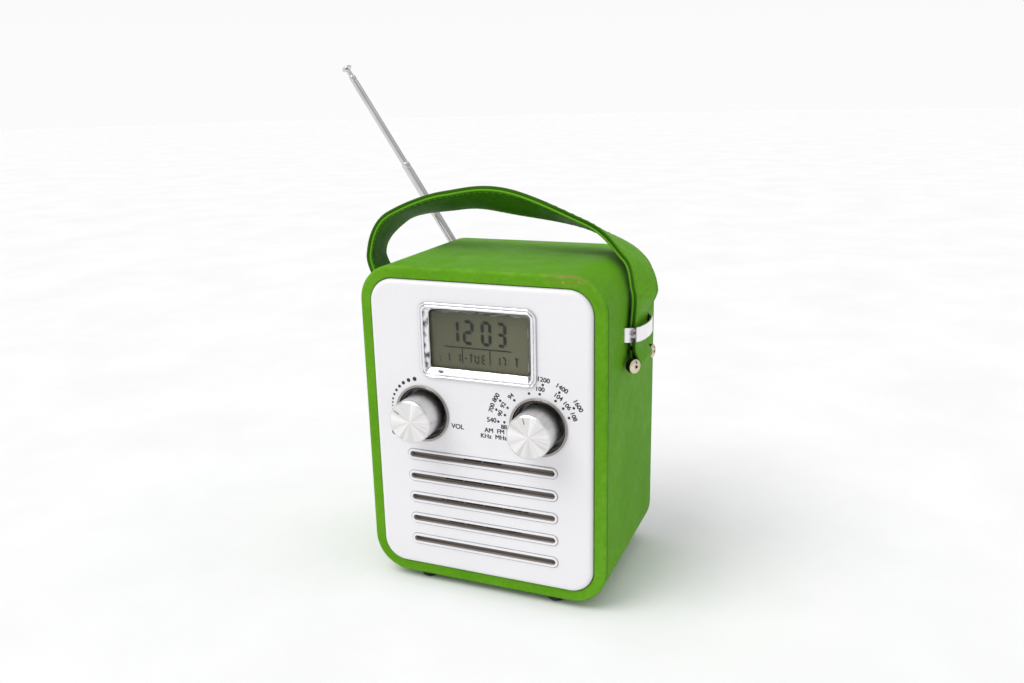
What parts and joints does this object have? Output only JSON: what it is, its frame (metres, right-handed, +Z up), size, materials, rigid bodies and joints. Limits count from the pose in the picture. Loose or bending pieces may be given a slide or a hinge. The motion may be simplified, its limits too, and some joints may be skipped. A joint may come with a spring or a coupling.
{
  "type": "tabletop radio",
  "caption": "Upright box radio in leatherette with a clock display, round volume and tuning knobs, slotted speaker grille, carrying strap and telescopic aerial.",
  "frame": {"origin": "bottom centre of the whole object's box at rest, at table level, with the aerial out; the cabinet's own centre is 25.7 mm to +X and 4.2 mm to +Y of it", "axes": "+X to the listener's right, +Y from the front panel into the cabinet, +Z up"},
  "size_m": [0.2012, 0.1158, 0.2699],
  "materials": {
    "core_board": "raw",
    "leatherette": "satin",
    "white_gloss": "gloss",
    "white_satin": "satin",
    "taupe_plastic": "satin",
    "pressed_steel": "satin",
    "cone_paper": "matte",
    "ferrite": "matte",
    "bright_chrome": "polished",
    "clear_window": "polished",
    "display_glass": "gloss",
    "circuit_board": "satin",
    "satin_ring": "satin",
    "black_gloss": "gloss",
    "spun_aluminium": "spun",
    "cream_plastic": "satin",
    "black_plastic": "satin",
    "foot_rubber": "matte",
    "aged_nickel": "aged"
  },
  "bodies": {
    "cabinet": {"cabinet_core": "core_board", "leatherette_wrap": "leatherette", "front_panel": "white_gloss", "back_panel": "white_satin", "speaker_baffle": "taupe_plastic", "speaker_basket": "pressed_steel", "back_screw_1": "pressed_steel", "back_screw_2": "pressed_steel", "back_screw_3": "pressed_steel", "back_screw_4": "pressed_steel", "volume_potentiometer": "pressed_steel", "battery_contact_left": "pressed_steel", "battery_contact_right": "pressed_steel", "speaker_cone": "cone_paper", "speaker_dust_cap": "cone_paper", "speaker_magnet": "ferrite", "ferrite_rod": "ferrite", "lcd_bezel": "bright_chrome", "strap_keeper_left": "bright_chrome", "strap_keeper_right": "bright_chrome", "lcd_lens": "clear_window", "lcd_display": "display_glass", "clock_board": "circuit_board", "main_board": "circuit_board", "rear_board": "circuit_board", "volume_ring": "satin_ring", "tuning_ring": "satin_ring", "volume_well": "black_gloss", "tuning_well": "black_gloss", "tuning_capacitor": "cream_plastic", "battery_box": "black_plastic", "dc_jack": "black_plastic", "aux_jack": "black_plastic", "foot_1": "foot_rubber", "foot_2": "foot_rubber", "foot_3": "foot_rubber", "foot_4": "foot_rubber"},
    "volume_control": {"volume_knob": "spun_aluminium", "volume_shaft": "pressed_steel"},
    "tuning_control": {"tuning_knob": "spun_aluminium", "tuning_shaft": "pressed_steel"},
    "carrying_strap": {"handle_strap": "leatherette", "handle_lining": "leatherette", "handle_pin_left": "aged_nickel", "handle_pin_right": "aged_nickel"},
    "aerial_base": {"aerial_swivel": "bright_chrome", "aerial_screw": "pressed_steel", "aerial_hinge_pin": "pressed_steel"},
    "aerial_arm": {"aerial_knuckle": "bright_chrome", "aerial_base_tube": "bright_chrome"},
    "aerial_mid": {"aerial_mid_tube": "bright_chrome"},
    "aerial_rod": {"aerial_inner_rod": "bright_chrome", "aerial_tip": "bright_chrome"},
    "battery_cover": {"battery_door": "white_satin"},
    "mode_key": {"mode_button": "taupe_plastic"},
    "set_key": {"set_button": "taupe_plastic"},
    "down_key": {"down_button": "taupe_plastic"},
    "up_key": {"up_button": "taupe_plastic"},
    "band_slider": {"band_switch": "black_plastic"},
    "alarm_slider": {"alarm_switch": "black_plastic"}
  },
  "joints": [
    {"name": "volume_turn", "type": "hinge", "parent": "cabinet", "child": "volume_control", "pos_m": [-0.00573, -0.0458, 0.0965], "axis": [0, 1, 0], "range_deg": [-69, 211]},
    {"name": "tuning_turn", "type": "hinge", "parent": "cabinet", "child": "tuning_control", "pos_m": [0.05707, -0.0458, 0.0965], "axis": [0, 1, 0], "range_deg": [-80, 80]},
    {"name": "strap_slide", "type": "slide", "parent": "cabinet", "child": "carrying_strap", "axis": [0, 0, 1], "range_m": [-0.0025, 0.0065]},
    {"name": "aerial_swivel", "type": "hinge", "parent": "cabinet", "child": "aerial_base", "pos_m": [-0.01893, 0.0547, 0.1463], "axis": [0, 1, 0], "range_deg": [-57, 123]},
    {"name": "aerial_tilt", "type": "hinge", "parent": "aerial_base", "child": "aerial_arm", "pos_m": [-0.01893, 0.0547, 0.1463], "axis": [-0.8387, 0, -0.5446], "range_deg": [0, 90]},
    {"name": "aerial_mid_slide", "type": "slide", "parent": "aerial_arm", "child": "aerial_mid", "axis": [0.5446, 0, -0.8387], "range_m": [0, 0.059]},
    {"name": "aerial_rod_slide", "type": "slide", "parent": "aerial_mid", "child": "aerial_rod", "axis": [-0.5446, 0, 0.8387], "range_m": [0, 0.05]},
    {"name": "battery_door_hinge", "type": "hinge", "parent": "cabinet", "child": "battery_cover", "pos_m": [0.02567, 0.0497, 0.0184], "axis": [-1, 0, 0], "range_deg": [0, 95]},
    {"name": "mode_press", "type": "slide", "parent": "cabinet", "child": "mode_key", "axis": [0, -1, 0], "range_m": [0, 0.0009], "stiffness_N_per_m": 300, "springref_m": -0.001},
    {"name": "set_press", "type": "slide", "parent": "cabinet", "child": "set_key", "axis": [0, -1, 0], "range_m": [0, 0.0009], "stiffness_N_per_m": 300, "springref_m": -0.001},
    {"name": "down_press", "type": "slide", "parent": "cabinet", "child": "down_key", "axis": [0, -1, 0], "range_m": [0, 0.0009], "stiffness_N_per_m": 300, "springref_m": -0.001},
    {"name": "up_press", "type": "slide", "parent": "cabinet", "child": "up_key", "axis": [0, -1, 0], "range_m": [0, 0.0009], "stiffness_N_per_m": 300, "springref_m": -0.001},
    {"name": "band_slide", "type": "slide", "parent": "cabinet", "child": "band_slider", "axis": [1, 0, 0], "range_m": [0, 0.005]},
    {"name": "alarm_slide", "type": "slide", "parent": "cabinet", "child": "alarm_slider", "axis": [1, 0, 0], "range_m": [0, 0.005]}
  ]
}
